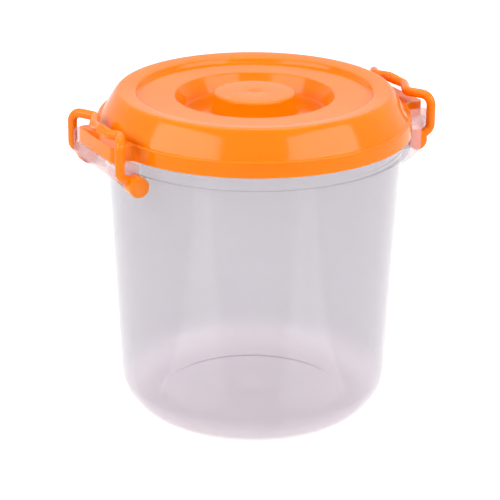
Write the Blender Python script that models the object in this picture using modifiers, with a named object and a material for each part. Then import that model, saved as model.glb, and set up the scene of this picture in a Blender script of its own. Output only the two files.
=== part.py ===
"""Round storage container: a clear bucket, a domed lid with a central knob, and two swinging side handles."""
import math

import bmesh
import bpy
from mathutils import Matrix, Vector

# Clearances and moulding
CLEARANCE = 0.0003
OVERRUN = 0.004
WALL = 0.0020
MERGE_DISTANCE = 0.00001

# Smoothness of round forms
TURN_STEPS = 56
BORE_STEPS = 20
GRIP_STEPS = 16
FILLET_STEPS = 3
CURVE_STEPS = 8
INNER_FILLET_STEPS = 2
INNER_CURVE_STEPS = 5
ROD_RESOLUTION = 2
SHARP_ANGLE = math.radians(38)

# Bucket wall, foot and rim
WALL_RADIUS_AT_GROUND = 0.1129
WALL_FLARE_SHARE = 0.0461
FOOT_RING_INSET = 0.0269
FOOT_RING_WIDTH = 0.0050
FOOT_RECESS_DEPTH = 0.0030
FOOT_CORNER_HEIGHT = 0.0300
FOOT_CORNER_FLARE_SHARE = 0.52
FLOOR_THICKNESS = 0.0022
SHOULDER_HEIGHT = 0.2302
SHOULDER_RISE = 0.0012
BAND_STEP = 0.0054
BAND_HEIGHT = 0.0123

# Lid, from its skirt inwards
SKIRT_STEP = 0.0011
SKIRT_DRAFT = 0.0008
SKIRT_DEPTH = 0.0125
LEDGE_WIDTH = 0.0030
LEDGE_EDGE_RADIUS = 0.0010
DOME_WIDTH = 0.0262
DOME_LIP_RISE = 0.0181
DOME_INNER_PULL_REACH = 0.0150
DOME_INNER_PULL_RISE = 0.0059
DOME_OUTER_PULL_INSET = 0.0152
DOME_OUTER_PULL_RISE = 0.0255
LIP_WIDTH = 0.0039
LIP_DEPTH = 0.0018
TRAY_WIDTH = 0.0305
DISH_EDGE_FILLET = 0.0015
DISH_SLOPE_WIDTH = 0.0066
DISH_DEPTH = 0.0148
DISH_FILLET = 0.0035
KNOB_HEIGHT = 0.0170
KNOB_TOP_RADIUS = 0.0332
KNOB_DRAFT = 0.0013
KNOB_EDGE_FILLET = 0.0020
KNOB_DIMPLE_RADIUS = 0.0070
KNOB_DIMPLE_DEPTH = 0.0008

# Tongues of the lid, under the handles
TONGUE_LENGTH = 0.0134
TONGUE_SIDE_GAP = 0.0067
TONGUE_CORNER = 0.0040
TONGUE_FLARE = 0.0080
TONGUE_ROOT_INSET = 0.0150
TONGUE_THICKNESS = 0.0023

# Handles: each has a free end with a round boss and a guarded end with a flat lug
ROD_RADIUS = 0.0038
ARM_OFFSET = 0.0463
PIVOT_INSET = 0.0137
PIVOT_DROP = 0.0156
ARM_LEAN = 0.0128
KNEE_RISE = 0.0086
BAR_RISE = 0.0084
BAR_CORNER_RADIUS = 0.0085
BAR_BEND_RADIUS = 0.0045
FREE_BEND_INSET = 0.0080
FREE_BEND_SHARE = 0.670
GUARDED_BEND_INSET = 0.0115
GUARDED_BEND_SHARE = 0.562
GRIP_INSET = 0.0015
GRIP_FREE_END_SHARE = 0.475
GRIP_GUARDED_END_SHARE = 0.130
GRIP_MIDDLE_SHARE = 0.68
GRIP_LENGTH_SHARE = 0.50
GRIP_RIB_RADIUS = 0.0042
GRIP_GROOVE_DEPTH = 0.0006
GRIP_RIB_COUNT = 5
BOSS_RADIUS = 0.0082
BOSS_LENGTH = 0.0125
BOSS_EDGE = 0.0008
LUG_INSET = 0.0002
PIN_RADIUS = 0.0040

# Brackets of the bucket, which carry the handle pivots
BRACKET_DEPTH = 0.0334
BRACKET_CORNER = 0.0040
CHEEK_THICKNESS = 0.0030
CHEEK_TOP_DROP = 0.0035
CHEEK_TOP_CORNER = 0.0040
EYE_THICKNESS = 0.0037
SHELF_THICKNESS = 0.0020

# Guard plates of the bucket, outside the lugs of the handles
GUARD_THICKNESS = 0.0020
GUARD_INSET = 0.0134
GUARD_EDGE_LENGTH = 0.0197
GUARD_FOOT_DROP = 0.0332
GUARD_UPPER_PULL_INSET = 0.0030
GUARD_UPPER_PULL_DROP = 0.0055
GUARD_LOWER_PULL_REACH = 0.0095
GUARD_LOWER_PULL_RISE = 0.0035

# Bucket and lid sizes that follow from the ones above
FOOT_RING_OUTER_RADIUS = WALL_RADIUS_AT_GROUND - FOOT_RING_INSET
FOOT_RING_INNER_RADIUS = FOOT_RING_OUTER_RADIUS - FOOT_RING_WIDTH
FLOOR_HEIGHT = FOOT_RECESS_DEPTH + FLOOR_THICKNESS
BAND_RADIUS = WALL_RADIUS_AT_GROUND + WALL_FLARE_SHARE * SHOULDER_HEIGHT + BAND_STEP
SHELF_TOP = SHOULDER_HEIGHT + BAND_HEIGHT - CLEARANCE
LID_SKIRT_BOTTOM = SHELF_TOP + CLEARANCE
LID_SKIRT_BOTTOM_RADIUS = BAND_RADIUS + SKIRT_STEP
LID_LEDGE_HEIGHT = LID_SKIRT_BOTTOM + SKIRT_DEPTH
LID_LEDGE_RADIUS = LID_SKIRT_BOTTOM_RADIUS - SKIRT_DRAFT
RIM_TOP = LID_LEDGE_HEIGHT - WALL - CLEARANCE
RIM_RADIUS = LID_LEDGE_RADIUS - WALL - 2 * CLEARANCE
DOME_BASE_RADIUS = LID_LEDGE_RADIUS - LEDGE_WIDTH
TRAY_LIP_RADIUS = DOME_BASE_RADIUS - DOME_WIDTH
TRAY_LIP_HEIGHT = LID_LEDGE_HEIGHT + DOME_LIP_RISE
TRAY_RADIUS = TRAY_LIP_RADIUS - LIP_WIDTH
TRAY_HEIGHT = TRAY_LIP_HEIGHT - LIP_DEPTH
DISH_EDGE_RADIUS = TRAY_RADIUS - TRAY_WIDTH
DISH_FLOOR_RADIUS = DISH_EDGE_RADIUS - DISH_SLOPE_WIDTH
DISH_FLOOR_HEIGHT = TRAY_HEIGHT - DISH_DEPTH
KNOB_FOOT_RADIUS = KNOB_TOP_RADIUS + KNOB_DRAFT
KNOB_TOP_HEIGHT = DISH_FLOOR_HEIGHT + KNOB_HEIGHT

# Handle and bracket sizes that follow from the ones above
TONGUE_REACH = LID_SKIRT_BOTTOM_RADIUS + TONGUE_LENGTH
BRACKET_REACH = TONGUE_REACH
BRACKET_ROOT = BRACKET_REACH - BRACKET_DEPTH
PIVOT_REACH = BRACKET_REACH - PIVOT_INSET
PIVOT_HEIGHT = LID_SKIRT_BOTTOM - PIVOT_DROP
ARM_REACH = PIVOT_REACH + ARM_LEAN
KNEE_HEIGHT = PIVOT_HEIGHT + KNEE_RISE
BAR_HEIGHT = LID_LEDGE_HEIGHT + BAR_RISE
GRIP_REACH = ARM_REACH - GRIP_INSET
GRIP_FREE_END = ARM_OFFSET * GRIP_FREE_END_SHARE
GRIP_GUARDED_END = -ARM_OFFSET * GRIP_GUARDED_END_SHARE
GRIP_MIDDLE = GRIP_GUARDED_END + (GRIP_FREE_END - GRIP_GUARDED_END) * GRIP_MIDDLE_SHARE
GRIP_HALF_LENGTH = (GRIP_FREE_END - GRIP_GUARDED_END) * GRIP_LENGTH_SHARE / 2
GRIP_GROOVE_RADIUS = GRIP_RIB_RADIUS - GRIP_GROOVE_DEPTH
CHEEK_OUTER = ARM_OFFSET - ROD_RADIUS - CLEARANCE
CHEEK_INNER = CHEEK_OUTER - CHEEK_THICKNESS
CHEEK_TOP = LID_LEDGE_HEIGHT - CHEEK_TOP_DROP
CHEEK_UPPER_ROOT = math.sqrt((LID_SKIRT_BOTTOM_RADIUS + 4 * CLEARANCE) ** 2 - CHEEK_INNER ** 2)
TONGUE_HALF_WIDTH = CHEEK_INNER - TONGUE_SIDE_GAP
BOSS_INNER_OFFSET = CHEEK_OUTER + CLEARANCE
BOSS_OUTER_OFFSET = BOSS_INNER_OFFSET + BOSS_LENGTH
PIN_END_OFFSET = CHEEK_INNER - CLEARANCE
PIVOT_EYE_RADIUS = PIN_RADIUS + CLEARANCE + EYE_THICKNESS
GUARD_INNER = ARM_OFFSET + ROD_RADIUS + CLEARANCE
GUARD_REACH = BRACKET_REACH - GUARD_INSET
GUARD_EDGE_BOTTOM = SHELF_TOP - GUARD_EDGE_LENGTH
GUARD_FOOT_HEIGHT = SHELF_TOP - GUARD_FOOT_DROP

# Colours as seen on the mouldings
CLEAR_PLASTIC = ("clear_polypropylene", (0.66, 0.62, 0.66, 1.0), 0.28)
ORANGE_PLASTIC = ("orange_polypropylene", (1.0, 0.27, 0.004, 1.0), 0.24)


def arc(centre, radius, start, end, steps=FILLET_STEPS):
    """Points along a circular arc in a plane, angles in degrees."""
    points = []
    for step in range(steps + 1):
        angle = math.radians(start + (end - start) * step / steps)
        points.append((centre[0] + radius * math.cos(angle), centre[1] + radius * math.sin(angle)))
    return points


def bezier(start, start_pull, end_pull, end, steps=CURVE_STEPS):
    """Points along a cubic curve between two points of a plane."""
    corners = [Vector(corner) for corner in (start, start_pull, end_pull, end)]
    points = []
    for step in range(steps + 1):
        t = step / steps
        weights = ((1 - t) ** 3, 3 * t * (1 - t) ** 2, 3 * t * t * (1 - t), t ** 3)
        point = sum((weight * corner for weight, corner in zip(weights, corners)), Vector((0, 0)))
        points.append((point.x, point.y))
    return points


def rounded(points, radii, closed=False, steps=FILLET_STEPS):
    """Replaces the corners of an outline or a route by arcs of the given radii."""
    vectors = [Vector(point) for point in points]
    result = []
    for index, (corner, radius) in enumerate(zip(vectors, radii)):
        is_end = not closed and index in (0, len(vectors) - 1)
        if is_end or radius == 0:
            result.append(tuple(corner))
            continue
        back = (vectors[index - 1] - corner).normalized()
        ahead = (vectors[(index + 1) % len(vectors)] - corner).normalized()
        half = back.angle(ahead) / 2
        bisector = (back + ahead).normalized()
        centre = corner + bisector * (radius / math.sin(half))
        first = corner + back * (radius / math.tan(half)) - centre
        last = corner + ahead * (radius / math.tan(half)) - centre
        sweep = first.angle(last)
        for step in range(steps + 1):
            t = step / steps
            spoke = (first * math.sin((1 - t) * sweep) + last * math.sin(t * sweep)) / math.sin(sweep)
            result.append(tuple(centre + spoke))
    return result


def offset_line(points, distance):
    """Shifts an open line of (radius, height) points to its right-hand side by a distance."""
    vectors = [Vector(point) for point in points]
    shifted = []
    for index, point in enumerate(vectors):
        before = (point - vectors[index - 1]).normalized() if index else None
        after = (vectors[index + 1] - point).normalized() if index < len(vectors) - 1 else None
        directions = [step for step in (before, after) if step is not None]
        normals = [Vector((step.y, -step.x)) for step in directions]
        middle = sum(normals, Vector((0, 0))).normalized()
        reach = distance / middle.dot(normals[0])
        shifted.append(tuple(point + middle * reach))
    return shifted


def collection(name):
    """Adds a collection to the scene."""
    group = bpy.data.collections.new(name)
    bpy.context.scene.collection.children.link(group)
    return group


def clear_scene():
    """Removes every object of the scene that the script starts in."""
    for old in list(bpy.data.objects):
        bpy.data.objects.remove(old, do_unlink=True)


def plastic(name, colour, roughness):
    """A moulded plastic."""
    material = bpy.data.materials.new(name)
    material.use_nodes = True
    shader = material.node_tree.nodes["Principled BSDF"]
    shader.inputs["Base Color"].default_value = colour
    shader.inputs["Roughness"].default_value = roughness
    shader.inputs["Metallic"].default_value = 0.0
    material.diffuse_color = colour
    return material


def add_object(name, data, group):
    """Links new data into a collection as an object."""
    item = bpy.data.objects.new(name, data)
    group.objects.link(item)
    return item


def mark_cutter(item):
    """Keeps a cutter or a joining piece out of renders."""
    item.hide_render = True
    item.display_type = "WIRE"
    return item


def evaluated_copy(item, name, group):
    """A plain mesh object with the shape that an object's modifiers or curve give it."""
    graph = bpy.context.evaluated_depsgraph_get()
    mesh = bpy.data.meshes.new_from_object(item.evaluated_get(graph))
    solid = add_object(name, mesh, group)
    solid.matrix_world = item.matrix_world.copy()
    weld = bmesh.new()
    weld.from_mesh(mesh)
    bmesh.ops.remove_doubles(weld, verts=weld.verts, dist=MERGE_DISTANCE)
    bmesh.ops.recalc_face_normals(weld, faces=weld.faces)
    weld.to_mesh(mesh)
    weld.free()
    bpy.data.objects.remove(item, do_unlink=True)
    return solid


def turned(name, profile, group, steps=TURN_STEPS):
    """A solid turned about Z from (radius, height) points that run down its outer side."""
    mesh = bpy.data.meshes.new(name)
    points = [(radius, 0, height) for radius, height in profile]
    mesh.from_pydata(points, [(index, index + 1) for index in range(len(points) - 1)], [])
    item = add_object(name, mesh, group)
    screw = item.modifiers.new("turn", "SCREW")
    screw.steps = steps
    screw.render_steps = steps
    screw.use_merge_vertices = True
    screw.merge_threshold = MERGE_DISTANCE
    screw.use_normal_calculate = True
    return item


def plate(name, outline, bottom, top, group):
    """A flat plate with an outline in plan, between two heights."""
    curve = bpy.data.curves.new(name, "CURVE")
    curve.dimensions = "2D"
    curve.fill_mode = "BOTH"
    curve.extrude = (top - bottom) / 2
    spline = curve.splines.new("POLY")
    spline.points.add(len(outline) - 1)
    for point, place in zip(spline.points, outline):
        point.co = (place[0], place[1], 0, 1)
    spline.use_cyclic_u = True
    item = add_object(name, curve, group)
    item.location.z = (top + bottom) / 2
    bpy.context.view_layer.update()
    return evaluated_copy(item, name, group)


def cylinder_along_y(name, radius, start, end, centre, group, edge=0.0):
    """A round bar along Y between two offsets, with its ends slightly rounded where edge is given."""
    half = (end - start) / 2
    corners = [(radius - edge, half), (radius, half - edge), (radius, edge - half), (radius - edge, -half)]
    if edge == 0:
        corners = [(radius, half), (radius, -half)]
    profile = [(0, half)] + corners + [(0, -half)]
    item = turned(name, profile, group, BORE_STEPS)
    item.rotation_euler.x = -math.pi / 2
    item.location = (centre[0], (start + end) / 2, centre[1])
    bpy.context.view_layer.update()
    return evaluated_copy(item, name, group)


def combine(target, pieces, operation):
    """Joins pieces to a solid, or cuts them from it, and keeps the result as its mesh."""
    for piece in pieces:
        boolean = target.modifiers.new(piece.name, "BOOLEAN")
        boolean.operation = operation
        boolean.solver = "EXACT"
        boolean.object = piece
        mark_cutter(piece)
    return target


def half_turned(item, name, group):
    """The same mesh object turned half way round about Z."""
    mesh = item.data.copy()
    mesh.transform(Matrix.Rotation(math.pi, 4, "Z") @ item.matrix_world)
    return add_object(name, mesh, group)


def finish(item, material):
    """Gives a sub-part its material and smooth round faces."""
    item.data.materials.clear()
    item.data.materials.append(material)
    item.data.shade_smooth()
    item.data.set_sharp_from_angle(angle=SHARP_ANGLE)


def wall_radius(height):
    """Outer radius of the tapered bucket wall."""
    return WALL_RADIUS_AT_GROUND + WALL_FLARE_SHARE * height


def bucket_outer_line():
    """Outer side of the bucket, from the rim down to the foot ring."""
    corner_top = (wall_radius(FOOT_CORNER_HEIGHT), FOOT_CORNER_HEIGHT)
    upper_pull = (wall_radius(0), FOOT_CORNER_HEIGHT * (1 - FOOT_CORNER_FLARE_SHARE))
    flat_run = wall_radius(0) - FOOT_RING_OUTER_RADIUS
    lower_pull = (FOOT_RING_OUTER_RADIUS + flat_run * FOOT_CORNER_FLARE_SHARE, 0)
    line = [(RIM_RADIUS, RIM_TOP), (RIM_RADIUS, SHELF_TOP), (BAND_RADIUS, SHELF_TOP)]
    line += [(BAND_RADIUS, SHOULDER_HEIGHT + SHOULDER_RISE), (wall_radius(SHOULDER_HEIGHT), SHOULDER_HEIGHT)]
    line += bezier(corner_top, upper_pull, lower_pull, (FOOT_RING_OUTER_RADIUS, 0))
    return line


def bucket_inner_line():
    """Inner side of the bucket, from the rim down to the floor."""
    band_inner = RIM_RADIUS - WALL
    outer = bucket_outer_line()
    corner = [point for point in outer if point[1] < FOOT_CORNER_HEIGHT + MERGE_DISTANCE]
    inner_corner = [point for point in offset_line(corner, WALL) if point[1] > FLOOR_HEIGHT]
    shoulder = SHOULDER_HEIGHT + WALL
    line = [(band_inner, RIM_TOP), (band_inner, shoulder + SHOULDER_RISE)]
    line += [(wall_radius(shoulder) - WALL, shoulder)]
    return line + inner_corner + [(inner_corner[-1][0] - FLOOR_THICKNESS, FLOOR_HEIGHT)]


def bracket_outline(reach, half_width):
    """Plan of a bracket or of its hollow, with its outer corners rounded."""
    corners = [(BRACKET_ROOT, -half_width), (reach, -half_width), (reach, half_width), (BRACKET_ROOT, half_width)]
    return rounded(corners, (0, BRACKET_CORNER, BRACKET_CORNER, 0), closed=True)


def cheek_side_view():
    """Outline of a low cheek in the XZ plane, with a round eye about the pivot."""
    eye = arc((PIVOT_REACH, PIVOT_HEIGHT), PIVOT_EYE_RADIUS, 270, 340, 2 * FILLET_STEPS)
    outline = [(BRACKET_ROOT, PIVOT_HEIGHT - PIVOT_EYE_RADIUS)] + eye
    return outline + [(BRACKET_REACH, SHOULDER_HEIGHT), (BRACKET_REACH, SHELF_TOP), (BRACKET_ROOT, SHELF_TOP)]


def tall_cheek_side_view():
    """Outline of a cheek that also stands up beside the lid's tongue."""
    top_corner = (BRACKET_REACH - CHEEK_TOP_CORNER, CHEEK_TOP - CHEEK_TOP_CORNER)
    stand = arc(top_corner, CHEEK_TOP_CORNER, 0, 90)
    stand += [(CHEEK_UPPER_ROOT, CHEEK_TOP), (CHEEK_UPPER_ROOT, SHELF_TOP)]
    low = cheek_side_view()
    return low[:-2] + stand + low[-1:]


def guard_side_view():
    """Outline of a guard plate in the XZ plane, with a curved brace down to the wall."""
    upper_pull = (GUARD_REACH - GUARD_UPPER_PULL_INSET, GUARD_EDGE_BOTTOM - GUARD_UPPER_PULL_DROP)
    lower_pull = (BRACKET_ROOT + GUARD_LOWER_PULL_REACH, GUARD_FOOT_HEIGHT + GUARD_LOWER_PULL_RISE)
    curve = bezier((GUARD_REACH, GUARD_EDGE_BOTTOM), upper_pull, lower_pull,
                   (BRACKET_ROOT, GUARD_FOOT_HEIGHT), INNER_CURVE_STEPS)
    return [(BRACKET_ROOT, SHELF_TOP), (GUARD_REACH, SHELF_TOP)] + curve


def upright_plate(name, outline, start, end, group):
    """A plate that stands across Y, with an outline in the XZ plane, between two offsets."""
    item = plate(name, outline, -end, -start, group)
    item.data.transform(Matrix.Rotation(math.pi / 2, 4, "X") @ item.matrix_world)
    item.matrix_world = Matrix.Identity(4)
    return item


def bucket_brackets(group):
    """Solid shapes that add the bracket and guard at +X, and the shapes that hollow and bore them."""
    shelf = plate("bracket_block", bracket_outline(BRACKET_REACH, CHEEK_OUTER), SHOULDER_HEIGHT, SHELF_TOP, group)
    free = upright_plate("cheek_free", cheek_side_view(), CHEEK_INNER, CHEEK_OUTER, group)
    guarded = upright_plate("cheek_guarded", tall_cheek_side_view(), -CHEEK_OUTER, -CHEEK_INNER, group)
    guard_outer = GUARD_INNER + GUARD_THICKNESS
    guard = upright_plate("guard", guard_side_view(), -guard_outer, -GUARD_INNER, group)
    added = [shelf, free, guarded, guard]
    hollow_bottom = SHOULDER_HEIGHT - OVERRUN
    hollow = plate("bracket_hollow", bracket_hollow_outline(), hollow_bottom, SHELF_TOP - SHELF_THICKNESS, group)
    bore_end = CHEEK_OUTER + OVERRUN
    bore = cylinder_along_y("pivot_bore", PIN_RADIUS + CLEARANCE, -bore_end, bore_end,
                            (PIVOT_REACH, PIVOT_HEIGHT), group)
    return added, [hollow, bore]


def bracket_hollow_outline():
    """Plan of the space under a bracket's shelf, which follows the round band on its inner side."""
    half_width = CHEEK_INNER
    swing = math.degrees(math.asin(half_width / BAND_RADIUS))
    inner = arc((0, 0), BAND_RADIUS, swing, -swing, 4 * FILLET_STEPS)
    reach = BRACKET_REACH - WALL
    corner = BRACKET_CORNER - WALL
    outer = arc((reach - corner, corner - half_width), corner, -90, 0)
    outer += arc((reach - corner, half_width - corner), corner, 0, 90)
    return inner + outer


def make_bucket(group, cutters):
    """The clear bucket with its shoulder, rim, two brackets and two guards."""
    outer = [(0, RIM_TOP)] + bucket_outer_line()
    outer += [(FOOT_RING_INNER_RADIUS, 0), (FOOT_RING_INNER_RADIUS - FOOT_RECESS_DEPTH, FOOT_RECESS_DEPTH)]
    outer += [(0, FOOT_RECESS_DEPTH)]
    bucket = evaluated_copy(turned("bucket", outer, group), "bucket", group)
    inner = bucket_inner_line()
    mouth = (inner[0][0], RIM_TOP + OVERRUN)
    cavity = turned("bucket_cavity", [(0, mouth[1]), mouth] + inner + [(0, FLOOR_HEIGHT)], cutters)
    cavity = evaluated_copy(cavity, "bucket_cavity", cutters)
    added, cut = bucket_brackets(cutters)
    added += [half_turned(piece, piece.name + "_left", cutters) for piece in added]
    cut += [half_turned(piece, piece.name + "_left", cutters) for piece in cut]
    combine(bucket, added, "UNION")
    combine(bucket, [cavity] + cut, "DIFFERENCE")
    return bucket


def lid_outer_line(fillet_steps, curve_steps):
    """Upper side of the lid from its centre to the bottom of its skirt."""
    dimple = [(0, KNOB_TOP_HEIGHT - KNOB_DIMPLE_DEPTH), (KNOB_DIMPLE_RADIUS, KNOB_TOP_HEIGHT)]
    knob_corners = [(KNOB_DIMPLE_RADIUS, KNOB_TOP_HEIGHT), (KNOB_TOP_RADIUS, KNOB_TOP_HEIGHT),
                    (KNOB_FOOT_RADIUS, DISH_FLOOR_HEIGHT), (DISH_FLOOR_RADIUS, DISH_FLOOR_HEIGHT),
                    (DISH_EDGE_RADIUS, TRAY_HEIGHT), (TRAY_RADIUS, TRAY_HEIGHT)]
    fillets = (0, KNOB_EDGE_FILLET, DISH_FILLET, DISH_FILLET, DISH_EDGE_FILLET, 0)
    centre = dimple[:1] + rounded(knob_corners, fillets, steps=fillet_steps)
    inner_pull = (TRAY_LIP_RADIUS + DOME_INNER_PULL_REACH, TRAY_LIP_HEIGHT + DOME_INNER_PULL_RISE)
    outer_pull = (DOME_BASE_RADIUS - DOME_OUTER_PULL_INSET, LID_LEDGE_HEIGHT + DOME_OUTER_PULL_RISE)
    dome = bezier((TRAY_LIP_RADIUS, TRAY_LIP_HEIGHT), inner_pull, outer_pull,
                  (DOME_BASE_RADIUS, LID_LEDGE_HEIGHT), curve_steps)
    edge_centre = (LID_LEDGE_RADIUS - LEDGE_EDGE_RADIUS, LID_LEDGE_HEIGHT - LEDGE_EDGE_RADIUS)
    edge = arc(edge_centre, LEDGE_EDGE_RADIUS, 90, 0, 2)
    return centre + dome + edge + [(LID_SKIRT_BOTTOM_RADIUS, LID_SKIRT_BOTTOM)]


def tongue_outline(inset):
    """Plan of a lid tongue, flared into the round skirt, or of its hollow where an inset is given."""
    circle = LID_LEDGE_RADIUS - WALL / 4 - inset
    half_width = TONGUE_HALF_WIDTH - inset
    flare = TONGUE_FLARE + inset
    corner = TONGUE_CORNER - inset
    reach = TONGUE_REACH - inset
    flare_centre = (math.sqrt((circle + flare) ** 2 - (half_width + flare) ** 2), half_width + flare)
    touch_angle = math.degrees(math.atan2(flare_centre[1], flare_centre[0]))
    half = arc((reach - corner, half_width - corner), corner, 0, 90)
    half += arc(flare_centre, flare, 270, 180 + touch_angle)
    half += [(LID_SKIRT_BOTTOM_RADIUS - TONGUE_ROOT_INSET, half[-1][1])]
    other = [(x, -y) for x, y in reversed(half)]
    return half + other


def make_lid(group, cutters):
    """The lid: knob, dish, tray, dome, ledge, skirt and two tongues, all of one wall."""
    line = lid_outer_line(FILLET_STEPS, CURVE_STEPS)
    lid = turned("lid", line + [(0, LID_SKIRT_BOTTOM)], group)
    lid = evaluated_copy(lid, "lid", group)
    under = lid_under_line(lid_outer_line(INNER_FILLET_STEPS, INNER_CURVE_STEPS))
    below = (under[-1][0], LID_SKIRT_BOTTOM - OVERRUN)
    cavity = turned("lid_cavity", under + [below, (0, below[1])], cutters)
    cavity = evaluated_copy(cavity, "lid_cavity", cutters)
    tongue = plate("tongue_block", tongue_outline(0), LID_SKIRT_BOTTOM, LID_LEDGE_HEIGHT, cutters)
    hollow_bottom = LID_SKIRT_BOTTOM - OVERRUN
    hollow_top = LID_LEDGE_HEIGHT - TONGUE_THICKNESS
    tongue_hollow = plate("tongue_hollow", tongue_outline(WALL), hollow_bottom, hollow_top, cutters)
    combine(lid, [tongue, half_turned(tongue, "tongue_block_left", cutters)], "UNION")
    hollows = [cavity, tongue_hollow, half_turned(tongue_hollow, "tongue_hollow_left", cutters)]
    combine(lid, hollows, "DIFFERENCE")
    return lid


def lid_under_line(line):
    """Underside of the lid, one wall below its upper side, with a flat seat for the bucket's rim."""
    seat_height = LID_LEDGE_HEIGHT - WALL
    lowest = seat_height + MERGE_DISTANCE
    under = [point for point in offset_line(line, WALL) if point[1] > lowest]
    under[0] = (0, under[0][1])
    seat_outer = LID_LEDGE_RADIUS - WALL
    return under + [(under[-1][0], seat_height), (seat_outer, seat_height),
                    (LID_SKIRT_BOTTOM_RADIUS - WALL, LID_SKIRT_BOTTOM)]


def handle_route():
    """Centre line of a handle's rod at +X, from its free end over the bar to its guarded end."""
    arm = [(PIVOT_REACH, ARM_OFFSET, PIVOT_HEIGHT), (ARM_REACH, ARM_OFFSET, KNEE_HEIGHT),
           (ARM_REACH, ARM_OFFSET, BAR_HEIGHT)]
    bar = [(ARM_REACH - FREE_BEND_INSET, ARM_OFFSET * FREE_BEND_SHARE, BAR_HEIGHT),
           (GRIP_REACH, GRIP_FREE_END, BAR_HEIGHT), (GRIP_REACH, GRIP_GUARDED_END, BAR_HEIGHT),
           (ARM_REACH - GUARDED_BEND_INSET, -ARM_OFFSET * GUARDED_BEND_SHARE, BAR_HEIGHT)]
    across = [(x, -y, z) for x, y, z in reversed(arm)]
    arm_radii = [0, BAR_BEND_RADIUS, BAR_CORNER_RADIUS]
    return rounded(arm + bar + across, arm_radii + [BAR_BEND_RADIUS] * len(bar) + arm_radii[::-1])


def rod(name, route, group):
    """A round rod along a route."""
    curve = bpy.data.curves.new(name, "CURVE")
    curve.dimensions = "3D"
    curve.bevel_depth = ROD_RADIUS
    curve.bevel_resolution = ROD_RESOLUTION
    curve.use_fill_caps = True
    spline = curve.splines.new("POLY")
    spline.points.add(len(route) - 1)
    for point, place in zip(spline.points, route):
        point.co = (*place, 1)
    return evaluated_copy(add_object(name, curve, group), name, group)


def ribbed_grip(group):
    """The thicker finger grip on the bar, with round ribs and grooves between them."""
    pitch = 2 * GRIP_HALF_LENGTH / (2 * GRIP_RIB_COUNT + 1)
    profile = [(0, GRIP_HALF_LENGTH)]
    for index in range(2 * GRIP_RIB_COUNT + 1):
        radius = GRIP_RIB_RADIUS if index % 2 == 0 else GRIP_GROOVE_RADIUS
        top = GRIP_HALF_LENGTH - index * pitch
        profile += [(radius, top), (radius, top - pitch)]
    profile += [(0, -GRIP_HALF_LENGTH)]
    item = turned("grip", profile, group, GRIP_STEPS)
    item.rotation_euler.x = -math.pi / 2
    item.location = (GRIP_REACH, GRIP_MIDDLE, BAR_HEIGHT)
    bpy.context.view_layer.update()
    return evaluated_copy(item, "grip", group)


def make_handle(group, cutters):
    """The handle at +X: a bent rod with a ribbed grip, a boss, a lug and two pivot pins."""
    handle = rod("handle_right", handle_route(), group)
    pivot = (PIVOT_REACH, PIVOT_HEIGHT)
    lug_outer = ARM_OFFSET + ROD_RADIUS - LUG_INSET
    lug_inner = BOSS_INNER_OFFSET + LUG_INSET
    boss = cylinder_along_y("boss", BOSS_RADIUS, BOSS_INNER_OFFSET, BOSS_OUTER_OFFSET, pivot, cutters, BOSS_EDGE)
    lug = cylinder_along_y("lug", BOSS_RADIUS, -lug_outer, -lug_inner, pivot, cutters, BOSS_EDGE)
    free_pin = cylinder_along_y("pin_free", PIN_RADIUS, PIN_END_OFFSET, ARM_OFFSET, pivot, cutters)
    guarded_pin = cylinder_along_y("pin_guarded", PIN_RADIUS, -ARM_OFFSET, -PIN_END_OFFSET, pivot, cutters)
    combine(handle, [ribbed_grip(cutters), boss, lug, free_pin, guarded_pin], "UNION")
    return handle


def place_origin(item, origin):
    """Moves an object's origin to a point without moving its shape."""
    shift = Vector(origin)
    item.data.transform(Matrix.Translation(-shift) @ item.matrix_world)
    item.matrix_world = Matrix.Translation(shift)


def main():
    """Builds the container."""
    clear_scene()
    parts = collection("round_storage_container")
    cutters = collection("cutters")
    clear_plastic = plastic(*CLEAR_PLASTIC)
    orange_plastic = plastic(*ORANGE_PLASTIC)
    bucket = make_bucket(parts, cutters)
    lid = make_lid(parts, cutters)
    handle = make_handle(parts, cutters)
    bpy.context.view_layer.update()
    bucket = evaluated_copy(bucket, "bucket", parts)
    lid = evaluated_copy(lid, "lid", parts)
    right = evaluated_copy(handle, "handle_right", parts)
    left = half_turned(right, "handle_left", parts)
    place_origin(right, (PIVOT_REACH, 0, PIVOT_HEIGHT))
    place_origin(left, (-PIVOT_REACH, 0, PIVOT_HEIGHT))
    finish(bucket, clear_plastic)
    for item in (lid, left, right):
        finish(item, orange_plastic)


main()
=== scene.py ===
"""Round storage container: clear bucket, domed orange lid and two swinging side handles."""
import math

import bmesh
import bpy
from mathutils import Matrix, Vector


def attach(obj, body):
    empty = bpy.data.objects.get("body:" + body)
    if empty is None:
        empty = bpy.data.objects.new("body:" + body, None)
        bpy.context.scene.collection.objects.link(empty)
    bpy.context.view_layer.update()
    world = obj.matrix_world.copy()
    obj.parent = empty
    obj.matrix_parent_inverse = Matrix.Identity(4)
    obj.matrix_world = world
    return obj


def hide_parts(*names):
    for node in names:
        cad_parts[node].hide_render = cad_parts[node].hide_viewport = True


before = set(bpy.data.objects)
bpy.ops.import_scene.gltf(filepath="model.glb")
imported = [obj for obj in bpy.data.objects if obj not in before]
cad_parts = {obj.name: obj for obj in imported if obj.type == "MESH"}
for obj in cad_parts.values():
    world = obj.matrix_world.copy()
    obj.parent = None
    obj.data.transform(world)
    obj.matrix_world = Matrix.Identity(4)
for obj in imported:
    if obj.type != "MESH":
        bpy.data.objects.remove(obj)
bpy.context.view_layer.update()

# Clearances and moulding
CLEARANCE = 0.0003
OVERRUN = 0.004
WALL = 0.0020
MERGE_DISTANCE = 0.00001

# Smoothness of round forms
TURN_STEPS = 192
BORE_STEPS = 48
GRIP_STEPS = 40
FILLET_STEPS = 7
CURVE_STEPS = 24
ROD_RESOLUTION = 8
SHARP_ANGLE = math.radians(32)

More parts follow.
